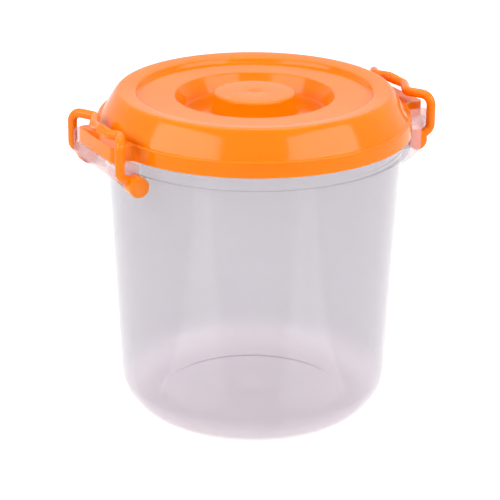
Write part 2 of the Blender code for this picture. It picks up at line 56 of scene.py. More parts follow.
# Bucket wall, foot and rim
WALL_RADIUS_AT_GROUND = 0.1129
WALL_FLARE_SHARE = 0.0461
FOOT_RING_INSET = 0.0269
FOOT_RING_WIDTH = 0.0050
FOOT_RECESS_DEPTH = 0.0030
FOOT_CORNER_HEIGHT = 0.0300
FOOT_CORNER_FLARE_SHARE = 0.52
FLOOR_THICKNESS = 0.0022
SHOULDER_HEIGHT = 0.2302
SHOULDER_RISE = 0.0012
BAND_STEP = 0.0054
BAND_HEIGHT = 0.0123
FLOOR_BEAD_RADIUS = 0.0944
FLOOR_BEAD_HALF_WIDTH = 0.0012
FLOOR_BEAD_RISE = 0.0003
GATE_RADIUS = 0.0036
GATE_RISE = 0.0008
GATE_ARC_START = 30

# Lid, from its skirt inwards
SKIRT_STEP = 0.0011
SKIRT_DRAFT = 0.0008
SKIRT_DEPTH = 0.0125
LEDGE_WIDTH = 0.0030
LEDGE_EDGE_RADIUS = 0.0010
DOME_WIDTH = 0.0158
DOME_RISE = 0.0217
DOME_CREST_PULL = 0.0041
DOME_FOOT_PULL_INSET = 0.0098
DOME_FOOT_PULL_RISE = 0.0165
CREST_SLOPE_WIDTH = 0.0128
CREST_SLOPE_DROP = 0.0015
LIP_WIDTH = 0.0015
LIP_DEPTH = 0.0039
LIP_EDGE_FILLET = 0.0022
LIP_FOOT_FILLET = 0.0008
TRAY_WIDTH = 0.0305
DISH_EDGE_FILLET = 0.0015
DISH_SLOPE_WIDTH = 0.0066
DISH_DEPTH = 0.0148
DISH_FILLET = 0.0035
KNOB_HEIGHT = 0.0170
KNOB_TOP_RADIUS = 0.0332
KNOB_DRAFT = 0.0013
KNOB_EDGE_FILLET = 0.0020
KNOB_DIMPLE_RADIUS = 0.0070
KNOB_DIMPLE_DEPTH = 0.0008
KNOB_DIMPLE_EDGE_PULL_SHARE = 0.9

# Tongues of the lid, under the handles
TONGUE_LENGTH = 0.0134
TONGUE_SIDE_GAP = 0.0067
TONGUE_CORNER = 0.0040
TONGUE_FLARE = 0.0080
TONGUE_ROOT_INSET = 0.0150
TONGUE_THICKNESS = 0.0023
TONGUE_SKIRT_OVERLAP = WALL / 4

# Handles: each has a free end with a round boss and a guarded end with a flat lug
ROD_RADIUS = 0.0038
ARM_OFFSET = 0.0463
PIVOT_INSET = 0.0137
PIVOT_DROP = 0.0156
ARM_LEAN = 0.0128
KNEE_RISE = 0.0086
BAR_RISE = 0.0084
BAR_CORNER_RADIUS = 0.0085
BAR_BEND_RADIUS = 0.0060
FREE_BEND_INSET = 0.0080
FREE_BEND_SHARE = 0.670
GUARDED_BEND_INSET = 0.0115
GUARDED_BEND_SHARE = 0.562
GRIP_INSET = 0.0015
GRIP_FREE_END_SHARE = 0.475
GRIP_GUARDED_END_SHARE = 0.130
GRIP_MIDDLE_SHARE = 0.68
GRIP_LENGTH_SHARE = 0.50
GRIP_RIB_RADIUS = 0.0042
GRIP_GROOVE_DEPTH = 0.0006
GRIP_RIB_COUNT = 5
GRIP_SAMPLES_PER_RIB = 10
BOSS_RADIUS = 0.0082
BOSS_LENGTH = 0.0125
BOSS_EDGE = 0.0008
LUG_INSET = 0.0002
PIN_RADIUS = 0.0040

# Brackets of the bucket, which carry the handle pivots
BRACKET_DEPTH = 0.0334
BRACKET_CORNER = 0.0040
CHEEK_THICKNESS = 0.0030
CHEEK_TOP_DROP = 0.0035
CHEEK_TOP_CORNER = 0.0040
CHEEK_SKIRT_GAP = 4 * CLEARANCE
EYE_THICKNESS = 0.0037
EYE_END_ANGLE = 340
SHELF_THICKNESS = 0.0020

# Guard plates of the bucket, outside the lugs of the handles
GUARD_THICKNESS = 0.0020
GUARD_INSET = 0.0134
GUARD_EDGE_LENGTH = 0.0197
GUARD_FOOT_DROP = 0.0332
GUARD_UPPER_PULL_INSET = 0.0030
GUARD_UPPER_PULL_DROP = 0.0055
GUARD_LOWER_PULL_REACH = 0.0095
GUARD_LOWER_PULL_RISE = 0.0035

# Bucket and lid sizes that follow from the ones above
FOOT_RING_OUTER_RADIUS = WALL_RADIUS_AT_GROUND - FOOT_RING_INSET
FOOT_RING_INNER_RADIUS = FOOT_RING_OUTER_RADIUS - FOOT_RING_WIDTH
FLOOR_HEIGHT = FOOT_RECESS_DEPTH + FLOOR_THICKNESS
BAND_RADIUS = WALL_RADIUS_AT_GROUND + WALL_FLARE_SHARE * SHOULDER_HEIGHT + BAND_STEP
SHELF_TOP = SHOULDER_HEIGHT + BAND_HEIGHT - CLEARANCE
LID_SKIRT_BOTTOM = SHELF_TOP + CLEARANCE
LID_SKIRT_BOTTOM_RADIUS = BAND_RADIUS + SKIRT_STEP
LID_LEDGE_HEIGHT = LID_SKIRT_BOTTOM + SKIRT_DEPTH
LID_LEDGE_RADIUS = LID_SKIRT_BOTTOM_RADIUS - SKIRT_DRAFT
RIM_TOP = LID_LEDGE_HEIGHT - WALL - CLEARANCE
RIM_RADIUS = LID_LEDGE_RADIUS - WALL - 2 * CLEARANCE
DOME_BASE_RADIUS = LID_LEDGE_RADIUS - LEDGE_WIDTH
CREST_RADIUS = DOME_BASE_RADIUS - DOME_WIDTH
CREST_HEIGHT = LID_LEDGE_HEIGHT + DOME_RISE
TRAY_LIP_RADIUS = CREST_RADIUS - CREST_SLOPE_WIDTH
TRAY_LIP_HEIGHT = CREST_HEIGHT - CREST_SLOPE_DROP
TRAY_RADIUS = TRAY_LIP_RADIUS - LIP_WIDTH
TRAY_HEIGHT = TRAY_LIP_HEIGHT - LIP_DEPTH
DISH_EDGE_RADIUS = TRAY_RADIUS - TRAY_WIDTH
DISH_FLOOR_RADIUS = DISH_EDGE_RADIUS - DISH_SLOPE_WIDTH
DISH_FLOOR_HEIGHT = TRAY_HEIGHT - DISH_DEPTH
KNOB_FOOT_RADIUS = KNOB_TOP_RADIUS + KNOB_DRAFT
KNOB_TOP_HEIGHT = DISH_FLOOR_HEIGHT + KNOB_HEIGHT

# Handle and bracket sizes that follow from the ones above
TONGUE_REACH = LID_SKIRT_BOTTOM_RADIUS + TONGUE_LENGTH
BRACKET_REACH = TONGUE_REACH
BRACKET_ROOT = BRACKET_REACH - BRACKET_DEPTH
PIVOT_REACH = BRACKET_REACH - PIVOT_INSET
PIVOT_HEIGHT = LID_SKIRT_BOTTOM - PIVOT_DROP
ARM_REACH = PIVOT_REACH + ARM_LEAN
KNEE_HEIGHT = PIVOT_HEIGHT + KNEE_RISE
BAR_HEIGHT = LID_LEDGE_HEIGHT + BAR_RISE
GRIP_REACH = ARM_REACH - GRIP_INSET
GRIP_FREE_END = ARM_OFFSET * GRIP_FREE_END_SHARE
GRIP_GUARDED_END = -ARM_OFFSET * GRIP_GUARDED_END_SHARE
GRIP_MIDDLE = GRIP_GUARDED_END + (GRIP_FREE_END - GRIP_GUARDED_END) * GRIP_MIDDLE_SHARE
GRIP_HALF_LENGTH = (GRIP_FREE_END - GRIP_GUARDED_END) * GRIP_LENGTH_SHARE / 2
GRIP_GROOVE_RADIUS = GRIP_RIB_RADIUS - GRIP_GROOVE_DEPTH
CHEEK_OUTER = ARM_OFFSET - ROD_RADIUS - CLEARANCE
CHEEK_INNER = CHEEK_OUTER - CHEEK_THICKNESS
CHEEK_TOP = LID_LEDGE_HEIGHT - CHEEK_TOP_DROP
CHEEK_UPPER_ROOT = math.sqrt((LID_SKIRT_BOTTOM_RADIUS + CHEEK_SKIRT_GAP) ** 2 - CHEEK_INNER ** 2)
TONGUE_HALF_WIDTH = CHEEK_INNER - TONGUE_SIDE_GAP
BOSS_INNER_OFFSET = CHEEK_OUTER + CLEARANCE
BOSS_OUTER_OFFSET = BOSS_INNER_OFFSET + BOSS_LENGTH
PIN_END_OFFSET = CHEEK_INNER - CLEARANCE
PIVOT_EYE_RADIUS = PIN_RADIUS + CLEARANCE + EYE_THICKNESS
GUARD_INNER = ARM_OFFSET + ROD_RADIUS + CLEARANCE
GUARD_REACH = BRACKET_REACH - GUARD_INSET
GUARD_EDGE_BOTTOM = SHELF_TOP - GUARD_EDGE_LENGTH
GUARD_FOOT_HEIGHT = SHELF_TOP - GUARD_FOOT_DROP

# Camera, fitted to the photograph: angles in degrees, distance in metres
CAMERA_DISTANCE = 1.69947
CAMERA_ELEVATION = 25.2355
CAMERA_PITCH = 21.0043
CAMERA_YAW = -0.1073
CAMERA_ROLL = 0.4029
CAMERA_AZIMUTH = -28.2
FOCAL_SHARE = 1948.41 / 500
SENSOR_WIDTH = 36

# Looks of the plastics: each pair of tints or values is the range that noise spreads them over
PLASTIC_IOR = 1.49
PLASTIC_SPECULAR_LEVEL = 0.2
ORANGE_TINTS = ((1.0, 0.222, 0.001, 1.0), (1.0, 0.240, 0.002, 1.0))
ORANGE_ROUGHNESS = (0.10, 0.16)
ORANGE_SCATTER_WEIGHT = 0.18
ORANGE_SCATTER_RADIUS = (1.0, 0.35, 0.05)
ORANGE_SCATTER_SCALE = 0.006
THIN_WALL_TINTS = ((0.235, 0.165, 0.265, 1.0), (0.275, 0.195, 0.305, 1.0))
FOOT_TINTS = ((0.82, 0.62, 0.78, 1.0), (0.88, 0.68, 0.84, 1.0))
BRACKET_TINTS = ((0.99, 0.56, 0.55, 1.0), (1.0, 0.61, 0.59, 1.0))
CLEAR_ROUGHNESS = (0.10, 0.17)
COAT_WEIGHT = 0.8
COAT_IOR = 1.5
COAT_ROUGHNESS = 0.06
WALL_VEIL = 0.24
FOOT_VEIL = 0.20
BRACKET_VEIL_ADDED = 0.10
FOOT_ZONE_SHARE = 0.3

# Floor and surroundings
FLOOR_SIZE = 12
FLOOR_DROP = 0.0002
FLOOR_COLOUR = (0.56, 0.56, 0.56, 1.0)
FLOOR_ROUGHNESS = 0.6
FLOOR_SPECULAR_LEVEL = 0.2
FLOOR_LIFT = 0.86
WHITE = (1.0, 1.0, 1.0, 1.0)
WORLD_DOWNWARD_PULL = 0.8
WORLD_FADE = (0.2, 0.62)
WORLD_LIGHT = (0.05, 0.42)

# Lamps: name, azimuth and elevation in degrees, distance, width and height in metres, power in watts
AIM = (0, 0, 0.2)
SOFTBOXES = (("softbox_left", -58, 31, 1.5, 1.3, 0.80, 18),
             ("softbox_right", 58, 31, 1.5, 1.3, 0.80, 18),
             ("softbox_top", 180, 75, 1.6, 0.9, 0.9, 10))
TABLE_GLOWS = (("table_glow_left", -36), ("table_glow_right", 38))
TABLE_GLOW_WIDTH = 0.14
TABLE_GLOW_LENGTH = 0.60
TABLE_GLOW_POWER = 0.38
TABLE_GLOW_REACH = 0.46
TABLE_GLOW_HEIGHT = 0.002


def arc(centre, radius, start, end, steps=FILLET_STEPS):
    """Points along a circular arc in a plane, angles in degrees."""
    points = []
    for step in range(steps + 1):
        angle = math.radians(start + (end - start) * step / steps)
        points.append((centre[0] + radius * math.cos(angle), centre[1] + radius * math.sin(angle)))
    return points


def bezier(start, start_pull, end_pull, end, steps=CURVE_STEPS):
    """Points along a cubic curve between two points of a plane."""
    corners = [Vector(corner) for corner in (start, start_pull, end_pull, end)]
    points = []
    for step in range(steps + 1):
        t = step / steps
        weights = ((1 - t) ** 3, 3 * t * (1 - t) ** 2, 3 * t * t * (1 - t), t ** 3)
        point = sum((weight * corner for weight, corner in zip(weights, corners)), Vector((0, 0)))
        points.append((point.x, point.y))
    return points


def rounded(points, radii, closed=False):
    """Replaces the corners of an outline or a route by arcs of the given radii."""
    vectors = [Vector(point) for point in points]
    result = []
    for index, (corner, radius) in enumerate(zip(vectors, radii)):
        is_end = not closed and index in (0, len(vectors) - 1)
        if is_end or radius == 0:
            result.append(tuple(corner))
            continue
        back = (vectors[index - 1] - corner).normalized()
        ahead = (vectors[(index + 1) % len(vectors)] - corner).normalized()
        half = back.angle(ahead) / 2
        bisector = (back + ahead).normalized()
        centre = corner + bisector * (radius / math.sin(half))
        first = corner + back * (radius / math.tan(half)) - centre
        last = corner + ahead * (radius / math.tan(half)) - centre
        sweep = first.angle(last)
        for step in range(FILLET_STEPS + 1):
            t = step / FILLET_STEPS
            spoke = (first * math.sin((1 - t) * sweep) + last * math.sin(t * sweep)) / math.sin(sweep)
            result.append(tuple(centre + spoke))
    return result


def offset_line(points, distance):
    """Shifts an open line of (radius, height) points to its right-hand side by a distance."""
    vectors = [Vector(point) for point in points]
    shifted = []
    for index, point in enumerate(vectors):
        before = (point - vectors[index - 1]).normalized() if index else None
        after = (vectors[index + 1] - point).normalized() if index < len(vectors) - 1 else None
        directions = [step for step in (before, after) if step is not None]
        normals = [Vector((step.y, -step.x)) for step in directions]
        middle = sum(normals, Vector((0, 0))).normalized()
        reach = distance / middle.dot(normals[0])
        shifted.append(tuple(point + middle * reach))
    return shifted


def add_object(name, data):
    """Links new data into the scene as an object."""
    item = bpy.data.objects.new(name, data)
    bpy.context.scene.collection.objects.link(item)
    return item


def evaluated_copy(item, name):
    """A plain mesh object with the shape that an object's modifiers or curve give it."""
    bpy.context.view_layer.update()
    graph = bpy.context.evaluated_depsgraph_get()
    mesh = bpy.data.meshes.new_from_object(item.evaluated_get(graph))
    mesh.transform(item.matrix_world)
    bpy.data.objects.remove(item, do_unlink=True)
    weld = bmesh.new()
    weld.from_mesh(mesh)
    bmesh.ops.remove_doubles(weld, verts=weld.verts, dist=MERGE_DISTANCE)
    bmesh.ops.recalc_face_normals(weld, faces=weld.faces)
    weld.to_mesh(mesh)
    weld.free()
    return add_object(name, mesh)


def turned(name, profile, steps=TURN_STEPS, matrix=Matrix.Identity(4)):
    """A solid turned about Z from (radius, height) points that run down its outer side."""
    mesh = bpy.data.meshes.new(name)
    points = [(radius, 0, height) for radius, height in profile]
    mesh.from_pydata(points, [(index, index + 1) for index in range(len(points) - 1)], [])
    item = add_object(name, mesh)
    item.matrix_world = matrix
    screw = item.modifiers.new("turn", "SCREW")
    screw.steps = steps
    screw.render_steps = steps
    screw.use_merge_vertices = True
    screw.merge_threshold = MERGE_DISTANCE
    screw.use_normal_calculate = True
    return evaluated_copy(item, name)


def plate(name, outline, bottom, top):
    """A flat plate with an outline in plan, between two heights."""
    curve = bpy.data.curves.new(name, "CURVE")
    curve.dimensions = "2D"
    curve.fill_mode = "BOTH"
    curve.extrude = (top - bottom) / 2
    spline = curve.splines.new("POLY")
    spline.points.add(len(outline) - 1)
    for point, place in zip(spline.points, outline):
        point.co = (place[0], place[1], 0, 1)
    spline.use_cyclic_u = True
    item = add_object(name, curve)
    item.location.z = (top + bottom) / 2
    return evaluated_copy(item, name)


def lying_along_y(x, y, z):
    """Places a form that was turned about Z at a point, with its axis along Y."""
    return Matrix.Translation((x, y, z)) @ Matrix.Rotation(-math.pi / 2, 4, "X")


def cylinder_along_y(name, radius, start, end, centre, edge=0.0):
    """A round bar along Y between two offsets, with its ends rounded where edge is given."""
    half = (end - start) / 2
    corners = [(radius, half), (radius, -half)]
    if edge:
        corners = arc((radius - edge, half - edge), edge, 90, 0)
        corners += arc((radius - edge, edge - half), edge, 0, -90)
    profile = [(0, half)] + corners + [(0, -half)]
    return turned(name, profile, BORE_STEPS, lying_along_y(centre[0], (start + end) / 2, centre[1]))


def combine(target, pieces, operation):
    """Joins pieces to a solid, or cuts them from it, and removes them."""
    for piece in pieces:
        boolean = target.modifiers.new(piece.name, "BOOLEAN")
        boolean.operation = operation
        boolean.solver = "EXACT"
        boolean.object = piece
    joined = evaluated_copy(target, target.name)
    for piece in pieces:
        bpy.data.objects.remove(piece, do_unlink=True)
    return joined


def half_turned(item, name):
    """The same mesh object turned half way round about Z."""
    mesh = item.data.copy()
    mesh.transform(Matrix.Rotation(math.pi, 4, "Z"))
    return add_object(name, mesh)


def wall_radius(height):
    """Outer radius of the tapered bucket wall."""
    return WALL_RADIUS_AT_GROUND + WALL_FLARE_SHARE * height


def bucket_outer_line():
    """Outer side of the bucket, from the rim down to the foot ring."""
    corner_top = (wall_radius(FOOT_CORNER_HEIGHT), FOOT_CORNER_HEIGHT)
    upper_pull = (wall_radius(0), FOOT_CORNER_HEIGHT * (1 - FOOT_CORNER_FLARE_SHARE))
    flat_run = wall_radius(0) - FOOT_RING_OUTER_RADIUS
    lower_pull = (FOOT_RING_OUTER_RADIUS + flat_run * FOOT_CORNER_FLARE_SHARE, 0)
    line = [(RIM_RADIUS, RIM_TOP), (RIM_RADIUS, SHELF_TOP), (BAND_RADIUS, SHELF_TOP)]
    line += [(BAND_RADIUS, SHOULDER_HEIGHT + SHOULDER_RISE), (wall_radius(SHOULDER_HEIGHT), SHOULDER_HEIGHT)]
    line += bezier(corner_top, upper_pull, lower_pull, (FOOT_RING_OUTER_RADIUS, 0))
    return line


def bucket_inner_line():
    """Inner side of the bucket, from the rim down to the middle of its floor."""
    band_inner = RIM_RADIUS - WALL
    corner_top = FOOT_CORNER_HEIGHT + MERGE_DISTANCE
    corner = [point for point in bucket_outer_line() if point[1] < corner_top]
    inner_corner = [point for point in offset_line(corner, WALL) if point[1] > FLOOR_HEIGHT]
    shoulder = SHOULDER_HEIGHT + WALL
    line = [(band_inner, RIM_TOP), (band_inner, shoulder + SHOULDER_RISE)]
    line += [(wall_radius(shoulder) - WALL, shoulder)] + inner_corner
    bead = [(FLOOR_BEAD_RADIUS + FLOOR_BEAD_HALF_WIDTH, 0), (FLOOR_BEAD_RADIUS, FLOOR_BEAD_RISE),
            (FLOOR_BEAD_RADIUS - FLOOR_BEAD_HALF_WIDTH, 0)]
    line += [(radius, FLOOR_HEIGHT + rise) for radius, rise in bead if radius < inner_corner[-1][0]]
    gate = arc((0, FLOOR_HEIGHT + GATE_RISE - GATE_RADIUS), GATE_RADIUS, GATE_ARC_START, 90)
    return line + [point for point in gate if point[1] > FLOOR_HEIGHT]


def bracket_outline(reach, half_width):
    """Plan of a bracket, with its outer corners rounded."""
    corners = [(BRACKET_ROOT, -half_width), (reach, -half_width), (reach, half_width),
               (BRACKET_ROOT, half_width)]
    return rounded(corners, (0, BRACKET_CORNER, BRACKET_CORNER, 0), closed=True)


def bracket_hollow_outline():
    """Plan of the space under a bracket's shelf, which follows the round band on its inner side."""
    half_width = CHEEK_INNER
    swing = math.degrees(math.asin(half_width / BAND_RADIUS))
    inner = arc((0, 0), BAND_RADIUS, swing, -swing, 4 * FILLET_STEPS)
    reach = BRACKET_REACH - WALL
    corner = BRACKET_CORNER - WALL
    outer = arc((reach - corner, corner - half_width), corner, -90, 0)
    outer += arc((reach - corner, half_width - corner), corner, 0, 90)
    return inner + outer


def cheek_side_view():
    """Outline of a low cheek in the XZ plane, with a round eye about the pivot."""
    eye = arc((PIVOT_REACH, PIVOT_HEIGHT), PIVOT_EYE_RADIUS, 270, EYE_END_ANGLE, 2 * FILLET_STEPS)
    outline = [(BRACKET_ROOT, PIVOT_HEIGHT - PIVOT_EYE_RADIUS)] + eye
    return outline + [(BRACKET_REACH, SHOULDER_HEIGHT), (BRACKET_REACH, SHELF_TOP), (BRACKET_ROOT, SHELF_TOP)]


def tall_cheek_side_view():
    """Outline of a cheek that also stands up beside the lid's tongue."""
    top_corner = (BRACKET_REACH - CHEEK_TOP_CORNER, CHEEK_TOP - CHEEK_TOP_CORNER)
    stand = arc(top_corner, CHEEK_TOP_CORNER, 0, 90)
    stand += [(CHEEK_UPPER_ROOT, CHEEK_TOP), (CHEEK_UPPER_ROOT, SHELF_TOP)]
    low = cheek_side_view()
    return low[:-2] + stand + low[-1:]


def guard_side_view():
    """Outline of a guard plate in the XZ plane, with a curved brace down to the wall."""
    upper_pull = (GUARD_REACH - GUARD_UPPER_PULL_INSET, GUARD_EDGE_BOTTOM - GUARD_UPPER_PULL_DROP)
    lower_pull = (BRACKET_ROOT + GUARD_LOWER_PULL_REACH, GUARD_FOOT_HEIGHT + GUARD_LOWER_PULL_RISE)
    curve = bezier((GUARD_REACH, GUARD_EDGE_BOTTOM), upper_pull, lower_pull,
                   (BRACKET_ROOT, GUARD_FOOT_HEIGHT))
    return [(BRACKET_ROOT, SHELF_TOP), (GUARD_REACH, SHELF_TOP)] + curve


def upright_plate(name, outline, start, end):
    """A plate that stands across Y, with an outline in the XZ plane, between two offsets."""
    item = plate(name, outline, -end, -start)
    item.data.transform(Matrix.Rotation(math.pi / 2, 4, "X"))
    return item


def make_bucket():
    """The clear bucket with its shoulder, rim, two brackets and two guards."""
    outer = [(0, RIM_TOP)] + bucket_outer_line()
    outer += [(FOOT_RING_INNER_RADIUS, 0), (FOOT_RING_INNER_RADIUS - FOOT_RECESS_DEPTH, FOOT_RECESS_DEPTH)]
    outer += [(0, FOOT_RECESS_DEPTH)]
    bucket = turned("clear_bucket", outer)
    inner = bucket_inner_line()
    mouth = (inner[0][0], RIM_TOP + OVERRUN)
    cavity = turned("bucket_cavity", [(0, mouth[1]), mouth] + inner)
    guard_outer = GUARD_INNER + GUARD_THICKNESS
    added = [plate("shelf", bracket_outline(BRACKET_REACH, CHEEK_OUTER), SHOULDER_HEIGHT, SHELF_TOP),
             upright_plate("cheek_free", cheek_side_view(), CHEEK_INNER, CHEEK_OUTER),
             upright_plate("cheek_guarded", tall_cheek_side_view(), -CHEEK_OUTER, -CHEEK_INNER),
             upright_plate("guard", guard_side_view(), -guard_outer, -GUARD_INNER)]
    hollow_bottom = SHOULDER_HEIGHT - OVERRUN
    bore_end = CHEEK_OUTER + OVERRUN
    cut = [plate("shelf_hollow", bracket_hollow_outline(), hollow_bottom, SHELF_TOP - SHELF_THICKNESS),
           cylinder_along_y("bore", PIN_RADIUS + CLEARANCE, -bore_end, bore_end, (PIVOT_REACH, PIVOT_HEIGHT))]
    added += [half_turned(piece, piece.name + "_left") for piece in added]
    cut += [half_turned(piece, piece.name + "_left") for piece in cut]
    bucket = combine(bucket, added, "UNION")
    return combine(bucket, [cavity] + cut, "DIFFERENCE")


def lid_outer_line():
    """Upper side of the lid from its centre to the bottom of its skirt."""
    dimple_bottom = KNOB_TOP_HEIGHT - KNOB_DIMPLE_DEPTH
    dimple = bezier((0, dimple_bottom), (KNOB_DIMPLE_RADIUS / 2, dimple_bottom),
                    (KNOB_DIMPLE_RADIUS * KNOB_DIMPLE_EDGE_PULL_SHARE, KNOB_TOP_HEIGHT),
                    (KNOB_DIMPLE_RADIUS, KNOB_TOP_HEIGHT), FILLET_STEPS)
    knob_corners = [(KNOB_DIMPLE_RADIUS, KNOB_TOP_HEIGHT), (KNOB_TOP_RADIUS, KNOB_TOP_HEIGHT),
                    (KNOB_FOOT_RADIUS, DISH_FLOOR_HEIGHT), (DISH_FLOOR_RADIUS, DISH_FLOOR_HEIGHT),
                    (DISH_EDGE_RADIUS, TRAY_HEIGHT), (TRAY_RADIUS, TRAY_HEIGHT),
                    (TRAY_LIP_RADIUS, TRAY_LIP_HEIGHT), (CREST_RADIUS, CREST_HEIGHT)]
    fillets = (0, KNOB_EDGE_FILLET, DISH_FILLET, DISH_FILLET, DISH_EDGE_FILLET, LIP_FOOT_FILLET,
               LIP_EDGE_FILLET, 0)
    centre = dimple[:-1] + rounded(knob_corners, fillets)
    crest_pull = (CREST_RADIUS + DOME_CREST_PULL, CREST_HEIGHT)
    foot_pull = (DOME_BASE_RADIUS - DOME_FOOT_PULL_INSET, LID_LEDGE_HEIGHT + DOME_FOOT_PULL_RISE)
    dome = bezier((CREST_RADIUS, CREST_HEIGHT), crest_pull, foot_pull, (DOME_BASE_RADIUS, LID_LEDGE_HEIGHT))
    edge_centre = (LID_LEDGE_RADIUS - LEDGE_EDGE_RADIUS, LID_LEDGE_HEIGHT - LEDGE_EDGE_RADIUS)
    edge = arc(edge_centre, LEDGE_EDGE_RADIUS, 90, 0)
    return centre + dome[1:] + edge + [(LID_SKIRT_BOTTOM_RADIUS, LID_SKIRT_BOTTOM)]


def lid_under_line(line):
    """Underside of the lid, one wall below its upper side, with a flat seat for the bucket's rim."""
    seat_height = LID_LEDGE_HEIGHT - WALL
    lowest = seat_height + MERGE_DISTANCE
    under = [point for point in offset_line(line, WALL) if point[1] > lowest]
    under[0] = (0, under[0][1])
    seat_outer = LID_LEDGE_RADIUS - WALL
    return under + [(under[-1][0], seat_height), (seat_outer, seat_height),
                    (LID_SKIRT_BOTTOM_RADIUS - WALL, LID_SKIRT_BOTTOM)]


def tongue_outline(inset):
    """Plan of a lid tongue, flared into the round skirt, or of its hollow where an inset is given."""
    circle = LID_LEDGE_RADIUS - TONGUE_SKIRT_OVERLAP - inset
    half_width = TONGUE_HALF_WIDTH - inset
    flare = TONGUE_FLARE + inset
    corner = TONGUE_CORNER - inset
    reach = TONGUE_REACH - inset
    flare_centre = (math.sqrt((circle + flare) ** 2 - (half_width + flare) ** 2), half_width + flare)
    touch_angle = math.degrees(math.atan2(flare_centre[1], flare_centre[0]))
    half = arc((reach - corner, half_width - corner), corner, 0, 90)
    half += arc(flare_centre, flare, 270, 180 + touch_angle)
    half += [(LID_SKIRT_BOTTOM_RADIUS - TONGUE_ROOT_INSET, half[-1][1])]
    other = [(x, -y) for x, y in reversed(half)]
    return half + other


def make_lid():
    """The lid: knob, dish, tray, dome, ledge, skirt and two tongues, all of one wall."""
    line = lid_outer_line()
    lid = turned("domed_lid", line + [(0, LID_SKIRT_BOTTOM)])
    under = lid_under_line(line)
    below = (under[-1][0], LID_SKIRT_BOTTOM - OVERRUN)
    cavity = turned("lid_cavity", under + [below, (0, below[1])])
    tongue = plate("tongue", tongue_outline(0), LID_SKIRT_BOTTOM, LID_LEDGE_HEIGHT)
    hollow = plate("tongue_hollow", tongue_outline(WALL), LID_SKIRT_BOTTOM - OVERRUN,
                   LID_LEDGE_HEIGHT - TONGUE_THICKNESS)
    tongues = [tongue, half_turned(tongue, "tongue_left")]
    hollows = [cavity, hollow, half_turned(hollow, "tongue_hollow_left")]
    return combine(combine(lid, tongues, "UNION"), hollows, "DIFFERENCE")


def handle_route():
    """Centre line of a handle's rod at +X, from its free end over the bar to its guarded end."""
    arm = [(PIVOT_REACH, ARM_OFFSET, PIVOT_HEIGHT), (ARM_REACH, ARM_OFFSET, KNEE_HEIGHT),
           (ARM_REACH, ARM_OFFSET, BAR_HEIGHT)]
    bar = [(ARM_REACH - FREE_BEND_INSET, ARM_OFFSET * FREE_BEND_SHARE, BAR_HEIGHT),
           (GRIP_REACH, GRIP_FREE_END, BAR_HEIGHT), (GRIP_REACH, GRIP_GUARDED_END, BAR_HEIGHT),
           (ARM_REACH - GUARDED_BEND_INSET, -ARM_OFFSET * GUARDED_BEND_SHARE, BAR_HEIGHT)]
    across = [(x, -y, z) for x, y, z in reversed(arm)]
    arm_radii = [0, BAR_BEND_RADIUS, BAR_CORNER_RADIUS]
    return rounded(arm + bar + across, arm_radii + [BAR_BEND_RADIUS] * len(bar) + arm_radii[::-1])


def rod(name, route):
    """A round rod along a route."""
    curve = bpy.data.curves.new(name, "CURVE")
    curve.dimensions = "3D"
    curve.bevel_depth = ROD_RADIUS
    curve.bevel_resolution = ROD_RESOLUTION
    curve.use_fill_caps = True
    spline = curve.splines.new("POLY")
    spline.points.add(len(route) - 1)
    for point, place in zip(spline.points, route):
        point.co = (*place, 1)
    return evaluated_copy(add_object(name, curve), name)


def ribbed_grip():
    """The thicker finger grip on the bar, with rounded ribs and grooves between them."""
    pitch = 2 * GRIP_HALF_LENGTH / GRIP_RIB_COUNT
    depth = (GRIP_RIB_RADIUS - GRIP_GROOVE_RADIUS) / 2
    middle = (GRIP_RIB_RADIUS + GRIP_GROOVE_RADIUS) / 2
    samples = GRIP_SAMPLES_PER_RIB * GRIP_RIB_COUNT
    profile = [(0, GRIP_HALF_LENGTH)]
    for index in range(samples + 1):
        along = 2 * GRIP_HALF_LENGTH * index / samples
        profile.append((middle - depth * math.cos(math.tau * along / pitch), GRIP_HALF_LENGTH - along))
    profile.append((0, -GRIP_HALF_LENGTH))
    return turned("grip", profile, GRIP_STEPS, lying_along_y(GRIP_REACH, GRIP_MIDDLE, BAR_HEIGHT))


def make_handle():
    """The handle at +X: a bent rod with a ribbed grip, a boss, a lug and two pivot pins."""
    handle = rod("right_handle", handle_route())
    pivot = (PIVOT_REACH, PIVOT_HEIGHT)
    lug_outer = ARM_OFFSET + ROD_RADIUS - LUG_INSET
    lug_inner = BOSS_INNER_OFFSET + LUG_INSET
    boss = cylinder_along_y("boss", BOSS_RADIUS, BOSS_INNER_OFFSET, BOSS_OUTER_OFFSET, pivot, BOSS_EDGE)
    lug = cylinder_along_y("lug", BOSS_RADIUS, -lug_outer, -lug_inner, pivot, BOSS_EDGE)
    free_pin = cylinder_along_y("pin_free", PIN_RADIUS, PIN_END_OFFSET, ARM_OFFSET, pivot)
    guarded_pin = cylinder_along_y("pin_guarded", PIN_RADIUS, -ARM_OFFSET, -PIN_END_OFFSET, pivot)
    return combine(handle, [ribbed_grip(), boss, lug, free_pin, guarded_pin], "UNION")


def add_node(tree, kind, inputs=None, **settings):
    """Adds a shader node with its settings and unlinked input values."""
    node = tree.nodes.new(kind)
    for key, value in settings.items():
        setattr(node, key, value)
    for key, value in (inputs or {}).items():
        node.inputs[key].default_value = value
    return node


def noise(tree, scale, detail, roughness=0.5, stretch=(1, 1, 1)):
    """A noise texture in object space, stretched along an axis where wanted."""
    place = add_node(tree, "ShaderNodeTexCoord")
    mapping = add_node(tree, "ShaderNodeMapping", {"Scale": stretch})
    texture = add_node(tree, "ShaderNodeTexNoise", {"Scale": scale, "Detail": detail, "Roughness": roughness})
    tree.links.new(place.outputs["Object"], mapping.inputs["Vector"])
    tree.links.new(mapping.outputs["Vector"], texture.inputs["Vector"])
    return texture.outputs["Fac"]


